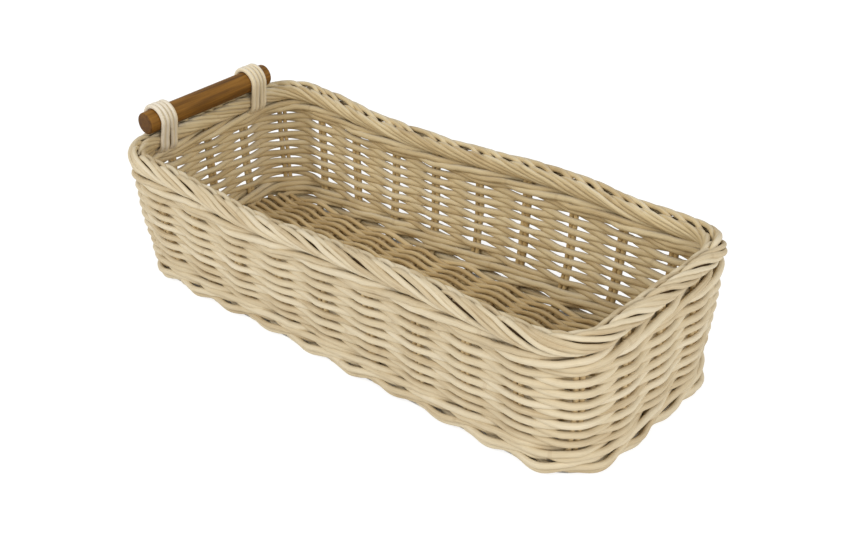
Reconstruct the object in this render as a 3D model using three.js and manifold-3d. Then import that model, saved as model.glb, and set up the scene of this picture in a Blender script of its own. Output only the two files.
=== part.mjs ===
import * as THREE from 'three';
import Module from 'manifold-3d';

// A hand-woven cutlery basket with a round wooden bar lashed onto one end.
// Millimetres, +Z up. X runs along the basket, the bar is at the -X end, and the basket stands on z = 0.

// Driving dimensions of the basket
const overallLength = 380; // over the border
const overallWidth = 161; // over the border
const overallHeight = 91.5; // top of the border, midway along the long sides
const farEndRise = 9.4; // how much higher the border stands at the far end
const handleEndRise = -1; // and at the handle end
const wallWave = 3.3; // how far the border and rows wander up and down along the basket
const waveLength = 224; // from one crest of that wave to the next
const borderThickness = 13.4; // the rolled border is as thick as a rope
const borderCorner = 27; // plan radius at the border's middle
const endLean = 2.1; // how far the ends lean out from foot to border
const sideLean = 6.9; // how far the long sides lean out from foot to border
const endSwell = 3.3; // how far the ends belly out halfway up
const sideSwell = 2.2; // how far the long sides belly out halfway up
const footCorner = 30; // plan radius of the stakes at the foot of the wall
const bendRadius = 5.6; // stakes turn up from the base round this radius

// Driving dimensions of the weave
const strandThickness = 3; // weavers and wale rods
const rodThickness = 3.3; // stakes are pairs of these rods, side by side
const stakesPerQuarter = 7; // stakes from the middle of an end to the middle of a long side
const sideStretch = 0.08; // by this share the stakes stand wider apart midway along the sides, and closer at the ends
const endFootLength = 14; // how far the end and corner stakes reach into the base
const borderEnds = 7; // stake ends lying side by side in the rolled border
const borderGroove = 1.6; // how deep the grooves between them are
const baseRowPitch = 6.5; // from one row of the base weave to the next
const baseCover = 0.8; // thinnest cover of the base weave over a stake
const standingStrip = 8; // width of the strip under each cross stake that the basket stands on
const clearance = 0.3; // between pieces that touch

// Driving dimensions of the handle
const barThickness = 15;
const barLength = 107;
const barEdge = 1.2; // rounding of the bar's ends
const barInset = 2; // the bar lies this far inside the border's middle
const barClearance = 0.4; // the bar turns in its lashings
const lashingStrands = 4; // strands lying side by side in each lashing
const lashingSpacing = 80; // between the middles of the two lashings
const lashingReach = 7.4; // how far the legs go down past the border's middle

// Levels and plans worked out from the driving dimensions
const borderRadius = borderThickness / 2;
const stickLevel = strandThickness + clearance + rodThickness / 2;
const baseThickness = 2 * stickLevel;
const border = {
  level: overallHeight - borderRadius,
  halfLength: overallLength / 2 - borderRadius,
  halfWidth: overallWidth / 2 - borderRadius,
  corner: borderCorner,
};
const foot = {
  level: stickLevel + bendRadius,
  halfLength: border.halfLength - endLean,
  halfWidth: border.halfWidth - sideLean,
  corner: footCorner,
};
const stakeCount = 4 * stakesPerQuarter;
const strandStep = strandThickness + clearance;
const halfSpacing = (foot.halfLength + foot.halfWidth) * 2 / stakeCount * (1 - sideStretch);
const wallSlope = Math.max(endLean + 4 * endSwell, sideLean + 4 * sideSwell) / (border.level - foot.level);
const flatPass = (rodThickness / 2 + clearance + strandThickness / 2) * Math.hypot(1, wallSlope);
const peakPass = flatPass / (1 - rodThickness / halfSpacing);
const cornerPass = flatPass + rodThickness * rodThickness / footCorner;

// The wales fill the space below the rows and below the border, and the rows share the rest
const topWaleLevel = border.level - borderRadius - strandStep - 2 * clearance;
const lowerWaleLevel = foot.level + strandThickness + 2 * clearance;
const rowSpace = topWaleLevel - lowerWaleLevel;
const rowCount = Math.floor(rowSpace / (2 * strandThickness + 1.5 * clearance)) - 1;
const rowPitch = rowSpace / (rowCount + 1);

// Colours and surface finish
const weaverMaterial = new THREE.MeshStandardMaterial({ color: 0xd8c6a4, roughness: 0.75, metalness: 0 });
const stakeMaterial = new THREE.MeshStandardMaterial({ color: 0xcbb58c, roughness: 0.78, metalness: 0 });
const lashingMaterial = new THREE.MeshStandardMaterial({ color: 0xe6dcc8, roughness: 0.7, metalness: 0 });
const barMaterial = new THREE.MeshStandardMaterial({ color: 0x84532a, roughness: 0.5, metalness: 0 });

const basket = new THREE.Group();

// The wall isn't level: a height changes towards the two ends, and wanders in a gentle wave
function raised(x, z) {
  const share = x / (overallLength / 2);
  const endRise = x < 0 ? handleEndRise : farEndRise;
  const lift = endRise * share * share + wallWave * Math.sin(2 * Math.PI * x / waveLength);
  return z * (1 + lift / overallHeight);
}

// Turn of a stake, or of a place between two stakes, counted from the middle of the +X end
function turnAt(place) {
  const quarters = place / stakesPerQuarter;
  const index = Math.floor(quarters);
  const share = quarters - index;
  const shift = sideStretch / Math.PI * Math.sin(Math.PI * share);
  return (quarters + (index % 2 === 0 ? -shift : shift)) / 4;
}

// Point and outward direction on a rounded rectangle, one full turn from 0 to 1, from the middle of the +X end
function planPoint(plan, turn) {
  const straightX = plan.halfLength - plan.corner;
  const straightY = plan.halfWidth - plan.corner;
  const arc = Math.PI / 2 * plan.corner;
  const quarter = straightX + straightY + arc;
  const quarters = (turn - Math.floor(turn)) * 4;
  const index = Math.floor(quarters);
  const share = index % 2 === 0 ? quarters - index : index + 1 - quarters;
  const run = share * quarter;
  const angle = Math.min(Math.max((run - straightY) / plan.corner, 0), Math.PI / 2);
  const signX = index === 1 || index === 2 ? -1 : 1;
  const signY = index > 1 ? -1 : 1;
  const alongEnd = Math.min(run, straightY);
  const alongSide = Math.min(quarter - run, straightX);
  return {
    x: signX * (alongSide + plan.corner * Math.cos(angle)),
    y: signY * (alongEnd + plan.corner * Math.sin(angle)),
    outX: signX * Math.cos(angle),
    outY: signY * Math.sin(angle),
  };
}

// Plan of the stakes' middle line at a height on the wall
function wallPlan(z) {
  const share = Math.min(Math.max((z - foot.level) / (border.level - foot.level), 0), 1);
  const belly = 4 * share * (1 - share);
  return {
    halfLength: foot.halfLength + endLean * share + endSwell * belly,
    halfWidth: foot.halfWidth + sideLean * share + sideSwell * belly,
    corner: footCorner + (borderCorner - footCorner) * share + endSwell * belly,
  };
}

// A point beside the wall: so far out from the stakes' middle and so far up from height z
function wallPoint(turn, z, out, up) {
  const place = planPoint(wallPlan(z + up), turn);
  const x = place.x + place.outX * out;
  const y = place.y + place.outY * out;
  return new THREE.Vector3(x, y, raised(x, z + up));
}

// A point beside the bend between base and wall, at an angle from 0 (base) to a quarter turn (wall)
function bendPoint(turn, angle, out, up) {
  const place = planPoint(foot, turn);
  const inset = bendRadius * (1 - Math.sin(angle));
  const across = out * Math.sin(angle) + up * Math.cos(angle) - inset;
  const z = stickLevel + bendRadius * (1 - Math.cos(angle)) - out * Math.cos(angle) + up * Math.sin(angle);
  const x = place.x + place.outX * across;
  return new THREE.Vector3(x, place.y + place.outY * across, raised(x, z));
}

// Skin over a row of equal outlines: a ring if closed, or else a bar with both ends capped
function skin(outlines, closed) {
  const count = outlines[0].length;
  const positions = outlines.flat().flatMap((point) => [point.x, point.y, point.z]);
  const triangles = [];
  const spans = closed ? outlines.length : outlines.length - 1;
  for (let i = 0; i < spans; i += 1) {
    const next = (i + 1) % outlines.length;
    for (let j = 0; j < count; j += 1) {
      const k = (j + 1) % count;
      const corners = [i * count + j, i * count + k, next * count + k, next * count + j];
      triangles.push([corners[0], corners[1], corners[2]], [corners[0], corners[2], corners[3]]);
    }
  }
  if (!closed) {
    const last = (outlines.length - 1) * count;
    for (let j = 1; j < count - 1; j += 1) {
      triangles.push([0, j + 1, j], [last, last + j, last + j + 1]);
    }
  }
  return outward(positions, triangles);
}

// Turns all the triangles over if they face into the solid
function outward(positions, triangles) {
  const corner = (index) => new THREE.Vector3().fromArray(positions, 3 * index);
  let volume = 0;
  for (const [a, b, c] of triangles) {
    volume += corner(a).dot(corner(b).cross(corner(c)));
  }
  const facing = volume > 0 ? triangles : triangles.map(([a, b, c]) => [a, c, b]);
  return { positions, indices: facing.flat() };
}

function addPiece(name, solid, material) {
  const geometry = new THREE.BufferGeometry();
  geometry.setAttribute('position', new THREE.Float32BufferAttribute(solid.positions, 3));
  geometry.setIndex(solid.indices);
  geometry.computeVertexNormals();
  const mesh = new THREE.Mesh(geometry, material);
  mesh.name = name;
  basket.add(mesh);
}

// Stakes and base sticks

// Outline of two rods side by side, around a point, along the wall and through the wall
function rodPair(point, along, through, grow) {
  const wide = rodThickness + grow;
  const flat = rodThickness * 0.7 + grow;
  const thick = rodThickness / 2 + grow;
  const corners = [[wide, 0], [flat, thick], [-flat, thick], [-wide, 0], [-flat, -thick], [flat, -thick]];
  return corners.map(([a, b]) => point.clone().addScaledVector(along, a).addScaledVector(through, b));
}

// Middle line of one stake, from its foot in the base to its end under the border
function stakeLine(turn, reach, grow) {
  const bendSteps = 3;
  const wallSteps = 6;
  const top = border.level - borderRadius - 2 * clearance + grow;
  const points = [];
  if (reach > 0) {
    points.push(bendPoint(turn, 0, 0, -reach - grow));
  }
  for (let i = 0; i <= bendSteps; i += 1) {
    points.push(bendPoint(turn, Math.PI / 2 * i / bendSteps, 0, 0));
  }
  for (let i = 1; i <= wallSteps; i += 1) {
    points.push(wallPoint(turn, foot.level + (top - foot.level) * i / wallSteps, 0, 0));
  }
  return points;
}

function stakeSkin(points, turn, grow) {
  const place = planPoint(foot, turn);
  const along = new THREE.Vector3(-place.outY, place.outX, 0);
  const outlines = points.map((point, i) => {
    const before = points[Math.max(i - 1, 0)];
    const after = points[Math.min(i + 1, points.length - 1)];
    const heading = after.clone().sub(before);
    heading.addScaledVector(along, -heading.dot(along)).normalize();
    return rodPair(point, along, heading.clone().cross(along), grow);
  });
  return skin(outlines, false);
}

// A cross stake is one pair of rods: up one long side, under the base and up the other
function crossStake(turn, grow) {
  const mirror = stakeLine(1 - turn, 0, grow).reverse();
  return stakeSkin(mirror.concat(stakeLine(turn, 0, grow)), turn, grow);
}

function endStake(turn, grow) {
  return stakeSkin(stakeLine(turn, endFootLength, grow), turn, grow);
}

function isCorner(turn) {
  const place = planPoint(foot, turn);
  return Math.abs(place.outX) > 0.01 && Math.abs(place.outY) > 0.01;
}

const stakes = [];
const counts = { cross_stake: 0, handle_end_stake: 0, far_end_stake: 0, corner_stake: 0 };
for (let k = 0; k < stakeCount; k += 1) {
  const turn = turnAt(k);
  const place = planPoint(foot, turn);
  let kind = 'cross_stake';
  if (isCorner(turn)) {
    kind = 'corner_stake';
  } else if (place.outX > 0.5) {
    kind = 'far_end_stake';
  } else if (place.outX < -0.5) {
    kind = 'handle_end_stake';
  }
  const shape = kind === 'cross_stake' ? crossStake : endStake;
  if (kind !== 'cross_stake' || place.outY > 0) {
    counts[kind] += 1;
    stakes.push({ name: `${kind}_${counts[kind]}`, turn, shape });
  }
}
for (const stake of stakes) {
  addPiece(stake.name, stake.shape(stake.turn, 0), stakeMaterial);
}

// Weavers and wale rods

// A strand's path: at each stake it passes so far out and so high, and it goes straight on from pass to pass.
// Corner stakes are passed on a flat stretch, because the strand bends round the corner there.
function strandPath(passAt, crossingAt) {
  const flatTurn = rodThickness / (2 * halfSpacing) / stakeCount;
  const path = [];
  for (let k = 0; k < stakeCount; k += 1) {
    const turn = turnAt(k);
    const pass = passAt(k);
    if (isCorner(turn)) {
      path.push({ turn: turn - flatTurn, out: pass.out * cornerPass, up: pass.up });
      path.push({ turn: turn + flatTurn, out: pass.out * cornerPass, up: pass.up });
    } else {
      path.push({ turn, out: pass.out * peakPass, up: pass.up });
    }
    const crossing = crossingAt(k);
    if (crossing) {
      path.push({ turn: turnAt(k + 0.5), out: crossing.out * peakPass, up: crossing.up });
    }
  }
  return path;
}

// Four-sided strand along a path, placed by a function of turn, out and up
function strandSkin(path, place) {
  const half = strandThickness / 2;
  const outlines = path.map(({ turn, out, up }) => [
    place(turn, out + half, up),
    place(turn, out, up + half),
    place(turn, out - half, up),
    place(turn, out, up - half),
  ]);
  return skin(outlines, true);
}

// Plain weave: a weaver goes in front of one stake and behind the next, and the weavers over and under it do the opposite
function plainWeaver(level, side) {
  const up = side * strandStep / 2;
  const passAt = (k) => ({ out: k % 2 === 0 ? side : -side, up });
  const crossingAt = () => ({ out: 0, up });
  const path = strandPath(passAt, crossingAt);
  return strandSkin(path, (turn, out, up) => wallPoint(turn, level, out, up));
}

// Waling: each of four rods takes the next of four places at every stake
function waleRod(places, first, place) {
  const passAt = (k) => places[(k + first) % places.length];
  const nearCorner = (k) => isCorner(turnAt(k)) || isCorner(turnAt(k + 1));
  const crossingAt = (k) => {
    const before = passAt(k);
    const after = passAt(k + 1);
    return nearCorner(k) ? { out: (before.out + after.out) / 2, up: (before.up + after.up) / 2 } : null;
  };
  return strandSkin(strandPath(passAt, crossingAt), place);
}

for (let row = 1; row <= rowCount; row += 1) {
  const level = lowerWaleLevel + rowPitch * row;
  addPiece(`row_${row}_weaver_a`, plainWeaver(level, 1), weaverMaterial);
  addPiece(`row_${row}_weaver_b`, plainWeaver(level, -1), weaverMaterial);
}

const twoOutTwoIn = [
  { out: 1, up: -strandStep / 2 },
  { out: 1, up: strandStep / 2 },
  { out: -1, up: strandStep / 2 },
  { out: -1, up: -strandStep / 2 },
];
const threeOutOneIn = [
  { out: 1, up: -strandStep },
  { out: 1, up: 0 },
  { out: 1, up: strandStep },
  { out: -1, up: 0 },
];
for (let rod = 0; rod < 4; rod += 1) {
  const atFoot = (turn, out, up) => bendPoint(turn, Math.PI / 4, out, up);
  const atLower = (turn, out, up) => wallPoint(turn, lowerWaleLevel, out, up);
  const atTop = (turn, out, up) => wallPoint(turn, topWaleLevel, out, up);
  addPiece(`foot_wale_rod_${rod + 1}`, waleRod(threeOutOneIn, rod, atFoot), weaverMaterial);
  addPiece(`lower_wale_rod_${rod + 1}`, waleRod(twoOutTwoIn, rod, atLower), weaverMaterial);
  addPiece(`top_wale_rod_${rod + 1}`, waleRod(twoOutTwoIn, rod, atTop), weaverMaterial);
}

// Rolled border

// Turns at which a ring is drawn: close together round the corners, wider apart on the straights
function ringTurns(plan, endSteps, cornerSteps, sideSteps) {
  const straightX = plan.halfLength - plan.corner;
  const straightY = plan.halfWidth - plan.corner;
  const arc = Math.PI / 2 * plan.corner;
  const quarter = straightX + straightY + arc;
  const shares = [];
  for (let i = 0; i < endSteps; i += 1) {
    shares.push(straightY * i / endSteps / quarter);
  }
  for (let i = 0; i <= cornerSteps; i += 1) {
    shares.push((straightY + arc * i / cornerSteps) / quarter);
  }
  for (let i = 1; i < sideSteps; i += 1) {
    shares.push((straightY + arc + straightX * i / sideSteps) / quarter);
  }
  const half = shares.concat([1], shares.slice(1).reverse().map((share) => 2 - share));
  const whole = half.concat(half.map((share) => share + 2));
  return whole.map((share) => share / 4);
}

// The border is rolled like a rope: its section has a ridge for every stake end there, and turns as it goes round
function borderSkin() {
  const rolls = Math.round(2 * stakeCount / borderEnds);
  const outlines = ringTurns(border, 4, 5, 11).map((turn) => {
    const outline = [];
    for (let j = 0; j < 2 * borderEnds; j += 1) {
      const angle = Math.PI * j / borderEnds - 2 * Math.PI * rolls * turn;
      const radius = borderRadius - (j % 2) * borderGroove;
      outline.push(wallPoint(turn, border.level, radius * Math.cos(angle), radius * Math.sin(angle)));
    }
    return outline;
  });
  return skin(outlines, true);
}
addPiece('rolled_border', borderSkin(), weaverMaterial);

// Base weave: one mat with a ridge for every row, high over the cross stakes and low between them.
// It has a passage for every stake that runs through it or ends in it.

const wasm = await Module();
wasm.setup();

function toManifold(solid) {
  const vertProperties = new Float32Array(solid.positions);
  const triVerts = new Uint32Array(solid.indices);
  return new wasm.Manifold(new wasm.Mesh({ numProp: 3, vertProperties, triVerts }));
}

function fromManifold(manifold) {
  const mesh = manifold.getMesh();
  return { positions: Array.from(mesh.vertProperties), indices: Array.from(mesh.triVerts) };
}

// A long block with an outline of y and z at each of a row of places along X
function blockAlongX(xs, outlineAt) {
  const outlines = xs.map((x, i) => outlineAt(i).map(([y, z]) => new THREE.Vector3(x, y, z)));
  return toManifold(skin(outlines, false));
}

function baseMat() {
  const footWaleReach = (peakPass + strandThickness / 2) * Math.SQRT1_2;
  const inset = bendRadius * (1 - Math.SQRT1_2) + footWaleReach + clearance;
  const plan = {
    halfLength: foot.halfLength - inset,
    halfWidth: foot.halfWidth - inset,
    corner: footCorner - inset,
  };
  const beyond = 1; // how far the blocks stand out past each other where they are cut
  const end = plan.halfLength + standingStrip;
  const rows = Math.ceil(2 * plan.halfWidth / baseRowPitch);
  const side = rows * baseRowPitch / 2;
  const groove = stickLevel + rodThickness / 2 + clearance + baseCover;

  const places = [{ x: end, over: true }];
  const crossX = stakes.filter((stake) => stake.shape === crossStake).map((stake) => planPoint(foot, stake.turn).x);
  crossX.forEach((x, i) => {
    if (i > 0) {
      places.push({ x: (x + crossX[i - 1]) / 2, over: false });
    }
    places.push({ x, over: true });
  });
  places.push({ x: -end, over: true });

  const top = blockAlongX(places.map((place) => place.x), (i) => {
    const outline = [[side, -beyond], [-side, -beyond]];
    for (let j = 0; j <= 2 * rows; j += 1) {
      const high = j % 2 === 0 ? groove : baseThickness;
      outline.push([-side + j * baseRowPitch / 2, places[i].over ? high : stickLevel + strandThickness / 2]);
    }
    return outline;
  });

  const strips = places.flatMap(({ x, over }) => (over
    ? [{ x: x + standingStrip / 2, z: 0 }, { x: x - standingStrip / 2, z: 0 }]
    : [{ x, z: stickLevel - strandThickness / 2 }]));
  const high = baseThickness + beyond;
  const bottom = blockAlongX(strips.map((strip) => strip.x), (i) => [
    [side, strips[i].z], [side, high], [-side, high], [-side, strips[i].z],
  ]);

  const turns = ringTurns(plan, 1, 5, 1);
  const rim = [-beyond, high].map((z) => turns.map((turn) => {
    const place = planPoint(plan, turn);
    return new THREE.Vector3(place.x, place.y, z);
  }));
  let mat = toManifold(skin(rim, false)).intersect(top).intersect(bottom);
  for (const stake of stakes) {
    mat = mat.subtract(toManifold(stake.shape(stake.turn, clearance)));
  }
  return fromManifold(mat);
}
addPiece('base_mat', baseMat(), weaverMaterial);

// Handle bar and its lashings

const barRadius = barThickness / 2;
const barX = -border.halfLength + barInset;
const borderMiddle = raised(-border.halfLength, overallHeight) - borderRadius;
const barZ = borderMiddle + Math.sqrt((borderRadius + clearance + barRadius) ** 2 - barInset ** 2);

function addBar() {
  const half = barLength / 2;
  const profile = [
    new THREE.Vector2(0, -half),
    new THREE.Vector2(barRadius - barEdge, -half),
    new THREE.Vector2(barRadius, -half + barEdge),
    new THREE.Vector2(barRadius, half - barEdge),
    new THREE.Vector2(barRadius - barEdge, half),
    new THREE.Vector2(0, half),
  ];
  const bar = new THREE.Mesh(new THREE.LatheGeometry(profile, 24), barMaterial);
  bar.name = 'handle_bar';
  bar.position.set(barX, 0, barZ);
  basket.add(bar);
}
addBar();

// A lashing is a band of strands: up the inside of the border, over the bar and down the outside
function lashing(y) {
  const half = strandThickness / 2;
  const turnRadius = Math.max(barRadius + barClearance, borderRadius + clearance + barInset) + half;
  const legFoot = borderMiddle - lashingReach;
  const steps = 12;
  const line = [{ x: turnRadius, z: legFoot - barZ, inX: -1, inZ: 0 }];
  for (let i = 0; i <= steps; i += 1) {
    const angle = Math.PI * i / steps;
    const cos = Math.cos(angle);
    const sin = Math.sin(angle);
    line.push({ x: turnRadius * cos, z: turnRadius * sin, inX: -cos, inZ: -sin });
  }
  line.push({ x: -turnRadius, z: legFoot - barZ, inX: 1, inZ: 0 });
  const halfBand = lashingStrands * strandThickness / 2;
  const outlines = line.map(({ x, z, inX, inZ }) => [[1, 1], [1, -1], [-1, -1], [-1, 1]].map(([side, inner]) => {
    const px = barX + x + inX * inner * half;
    const pz = barZ + z + inZ * inner * half;
    return new THREE.Vector3(px, y + side * halfBand, pz);
  }));
  return skin(outlines, false);
}
addPiece('near_lashing', lashing(-lashingSpacing / 2), lashingMaterial);
addPiece('far_lashing', lashing(lashingSpacing / 2), lashingMaterial);

export default basket;
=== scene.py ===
import math
import random

import bmesh
import bpy
from mathutils import Matrix, Vector


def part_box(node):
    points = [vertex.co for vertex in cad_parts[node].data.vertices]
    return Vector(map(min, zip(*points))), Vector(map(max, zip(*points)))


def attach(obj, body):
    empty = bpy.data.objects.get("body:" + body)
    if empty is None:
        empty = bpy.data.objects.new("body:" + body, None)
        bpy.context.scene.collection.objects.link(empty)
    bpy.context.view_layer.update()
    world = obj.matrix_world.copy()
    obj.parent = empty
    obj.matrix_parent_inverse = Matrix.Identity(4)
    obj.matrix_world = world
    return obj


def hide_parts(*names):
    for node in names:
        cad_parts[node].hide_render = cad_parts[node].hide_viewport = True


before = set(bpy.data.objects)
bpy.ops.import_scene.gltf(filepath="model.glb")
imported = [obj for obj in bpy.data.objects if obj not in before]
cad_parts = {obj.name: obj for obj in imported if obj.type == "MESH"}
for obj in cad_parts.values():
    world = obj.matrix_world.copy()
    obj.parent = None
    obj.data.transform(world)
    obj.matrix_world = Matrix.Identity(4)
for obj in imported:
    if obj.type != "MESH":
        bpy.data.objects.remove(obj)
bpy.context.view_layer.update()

# Photograph and camera
PHOTO_WIDTH = 855
VIEW_AZIMUTH = math.radians(43.12)
VIEW_ELEVATION = math.radians(30.50)
VIEW_ROLL = math.radians(-1.83)
VIEW_TARGET = Vector((0.0, 0.0, 0.045))
VIEW_DISTANCE = 0.8237
FOCAL_PIXELS = 1318.0
SHIFT_PIXELS = (22.2, -12.7)
SENSOR_WIDTH = 36.0
CLIP_START = 0.01

# Basket sizes in metres
OVERALL_HEIGHT = 0.0915
FAR_END_RISE = 0.0094
HANDLE_END_RISE = -0.001
WALL_WAVE = 0.0033
WAVE_LENGTH = 0.224
BORDER_THICKNESS = 0.0134
BORDER_CORNER = 0.027
END_LEAN = 0.0021
SIDE_LEAN = 0.0069
END_SWELL = 0.0033
SIDE_SWELL = 0.0022
FOOT_CORNER = 0.030
BEND_RADIUS = 0.0056
END_FOOT_LENGTH = 0.014

# Cane thicknesses in metres
STRAND = 0.0041
ROD = 0.0033
FOOT_CANE = 0.0038
BASE_CANE = 0.0032
BORDER_CANE = 0.0032
LASHING_CANE = 0.0032

# How the weave is counted and spaced
STAKES_PER_QUARTER = 7
STAKE_COUNT = 4 * STAKES_PER_QUARTER
SIDE_STRETCH = 0.08
ROW_COUNT = 8
WALE_RODS = 4
LASHING_STRANDS = 4
LOWER_WALE_RISE = 0.0036
TOP_WALE_DROP = 0.0039

# Seeds of what is drawn at random; a wall row takes its own number and a stake counts on from the first
SEEDS = {
    "foot_wale": 21,
    "lower_wale": 22,
    "top_wale": 23,
    "base_weave": 31,
    "first_stake": 40,
    "border_slips": 5,
    "border_canes": 77,
    "near_lashing": 91,
    "far_lashing": 92,
}

border_low, border_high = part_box("rolled_border")
base_low, base_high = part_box("base_mat")
border_radius = BORDER_THICKNESS / 2
overall_length = border_high[0] - border_low[0]
overall_width = border_high[1] - border_low[1]
border_level = OVERALL_HEIGHT - border_radius
stick_level = (base_low[2] + base_high[2]) / 2
foot_level = stick_level + BEND_RADIUS
lower_wale_level = foot_level + LOWER_WALE_RISE
top_wale_level = border_level - border_radius - TOP_WALE_DROP
row_pitch = (top_wale_level - lower_wale_level) / (ROW_COUNT + 1)

# Shape of the basket


def plan(half_length, half_width, corner):
    return {"half_length": half_length, "half_width": half_width, "corner": corner}


border_plan = plan(overall_length / 2 - border_radius, overall_width / 2 - border_radius, BORDER_CORNER)
foot_plan = plan(border_plan["half_length"] - END_LEAN, border_plan["half_width"] - SIDE_LEAN, FOOT_CORNER)


def raised(x, z):
    """The wall isn't level: heights change towards the two ends and wander in a gentle wave."""
    share = x / (overall_length / 2)
    end_rise = HANDLE_END_RISE if x < 0 else FAR_END_RISE
    lift = end_rise * share * share + WALL_WAVE * math.sin(2 * math.pi * x / WAVE_LENGTH)
    return z * (1 + lift / OVERALL_HEIGHT)


def turn_at(place):
    """Turn of a stake, or of a place between stakes; they stand wider apart along the long sides."""
    quarters = place / STAKES_PER_QUARTER
    index = math.floor(quarters)
    shift = SIDE_STRETCH / math.pi * math.sin(math.pi * (quarters - index))
    return (quarters + (shift if index % 2 else -shift)) / 4


def plan_point(outline, turn):
    """Point and outward direction on a rounded rectangle, one full turn from the middle of the far end."""
    corner = outline["corner"]
    straight_x = outline["half_length"] - corner
    straight_y = outline["half_width"] - corner
    quarter = straight_x + straight_y + math.pi / 2 * corner
    quarters = (turn - math.floor(turn)) * 4
    index = int(quarters)
    share = quarters - index if index % 2 == 0 else index + 1 - quarters
    run = share * quarter
    angle = min(max((run - straight_y) / corner, 0.0), math.pi / 2)
    sign_x = -1 if index in (1, 2) else 1
    sign_y = -1 if index > 1 else 1
    x = sign_x * (min(quarter - run, straight_x) + corner * math.cos(angle))
    y = sign_y * (min(run, straight_y) + corner * math.sin(angle))
    return x, y, Vector((sign_x * math.cos(angle), sign_y * math.sin(angle), 0.0))


def wall_plan(z):
    """Outline of the wall at a height: it leans out from the foot and swells in the middle."""
    share = min(max((z - foot_level) / (border_level - foot_level), 0.0), 1.0)
    belly = 4 * share * (1 - share)
    return plan(
        foot_plan["half_length"] + END_LEAN * share + END_SWELL * belly,
        foot_plan["half_width"] + SIDE_LEAN * share + SIDE_SWELL * belly,
        FOOT_CORNER + (BORDER_CORNER - FOOT_CORNER) * share + END_SWELL * belly,
    )


def wall_point(turn, z):
    x, y, _ = plan_point(wall_plan(z), turn)
    return Vector((x, y, raised(x, z)))


def bend_point(turn, angle, along=0.0):
    """Point on the stakes' bend between base (angle 0) and wall (a quarter turn)."""
    x, y, outward = plan_point(foot_plan, turn)
    across = along - BEND_RADIUS * (1 - math.sin(angle))
    x += outward.x * across
    y += outward.y * across
    return Vector((x, y, raised(x, stick_level + BEND_RADIUS * (1 - math.cos(angle)))))


def border_point(turn, out, up):
    x, y, outward = plan_point(border_plan, turn)
    x += outward.x * out
    y += outward.y * out
    return Vector((x, y, raised(x, border_level + up)))


# Node helpers


def add_node(tree, kind, inputs=None, **settings):
    """Adds a node, sets its options, and links or sets its inputs."""
    made = tree.nodes.new(kind)
    for name, value in settings.items():
        setattr(made, name, value)
    for key, value in (inputs or {}).items():
        socket = made.inputs[key]
        if isinstance(value, bpy.types.NodeSocket):
            tree.links.new(value, socket)
        else:
            socket.default_value = value
    return made


def calc(tree, operation, first, second=0.0):
    return add_node(tree, "ShaderNodeMath", {0: first, 1: second}, operation=operation).outputs[0]


def plus(tree, first, second):
    return calc(tree, "ADD", first, second)


def minus(tree, first, second):
    return calc(tree, "SUBTRACT", first, second)


def times(tree, first, second):
    return calc(tree, "MULTIPLY", first, second)


def vector_calc(tree, operation, inputs):
    return add_node(tree, "ShaderNodeVectorMath", inputs, operation=operation).outputs


def scaled(tree, vector, factor):
    return vector_calc(tree, "SCALE", {0: vector, "Scale": factor})[0]


def added(tree, first, second):
    return vector_calc(tree, "ADD", {0: first, 1: second})[0]


def unit(tree, vector):
    return vector_calc(tree, "NORMALIZE", {0: vector})[0]


def along_z(tree, value):
    return add_node(tree, "ShaderNodeCombineXYZ", {"Z": value}).outputs[0]


def noise(tree, place, scale, detail, roughness=0.5):
    inputs = {"Vector": place, "Scale": scale, "Detail": detail, "Roughness": roughness}
    return add_node(tree, "ShaderNodeTexNoise", inputs).outputs


# Materials

BUMP_DEPTH = 0.0003


def new_material(name):
    made = bpy.data.materials.new(name)
    made.use_nodes = True
    made.node_tree.nodes.clear()
    return made, made.node_tree


def linear(red, green, blue):
    """Scene colour from screen values out of 255."""
    def one(value):
        share = value / 255
        return share / 12.92 if share <= 0.04045 else ((share + 0.055) / 1.055) ** 2.4
    return one(red), one(green), one(blue), 1.0


def color_ramp(tree, factor, stops):
    made = add_node(tree, "ShaderNodeValToRGB", {"Fac": factor})
    ramp = made.color_ramp
    while len(ramp.elements) < len(stops):
        ramp.elements.new(0.5)
    for element, (position, color) in zip(ramp.elements, stops):
        element.position = position
        element.color = color
    return made.outputs["Color"]


def blended(tree, mode, share, under, over):
    """One colour over another; a mix node's colours are its inputs 6 and 7, and its output 2."""
    inputs = {"Factor": share, 6: under, 7: over}
    return add_node(tree, "ShaderNodeMix", inputs, data_type="RGBA", blend_type=mode).outputs[2]


def add_surface(tree, color, relief, bump, roughness, specular):
    """Joins a colour with gloss and bump that follow the relief, as the material's surface."""
    gloss_range = {"Value": relief, "To Min": roughness[0], "To Max": roughness[1]}
    gloss = add_node(tree, "ShaderNodeMapRange", gloss_range).outputs["Result"]
    bump_relief = {"Strength": bump, "Distance": BUMP_DEPTH, "Height": relief}
    normal = add_node(tree, "ShaderNodeBump", bump_relief).outputs["Normal"]
    shader = add_node(tree, "ShaderNodeBsdfPrincipled", {
        "Base Color": color,
        "Roughness": gloss,
        "Normal": normal,
        "Specular IOR Level": specular,
    })
    add_node(tree, "ShaderNodeOutputMaterial", {"Surface": shader.outputs[0]})


# Cane: how far one strand's pattern lies from the next, and pattern sizes along, round and across the canes
TONE_JUMP = 37.0
FIBRE_PER_METRE = 22.0
FIBRE_ROUND = 2.6
FIBRE_SCALE = 1.6
BLOTCH_SCALE = 55.0
JOINTS_PER_METRE = 4.3
JOINT_WIDTH = 0.010

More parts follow.
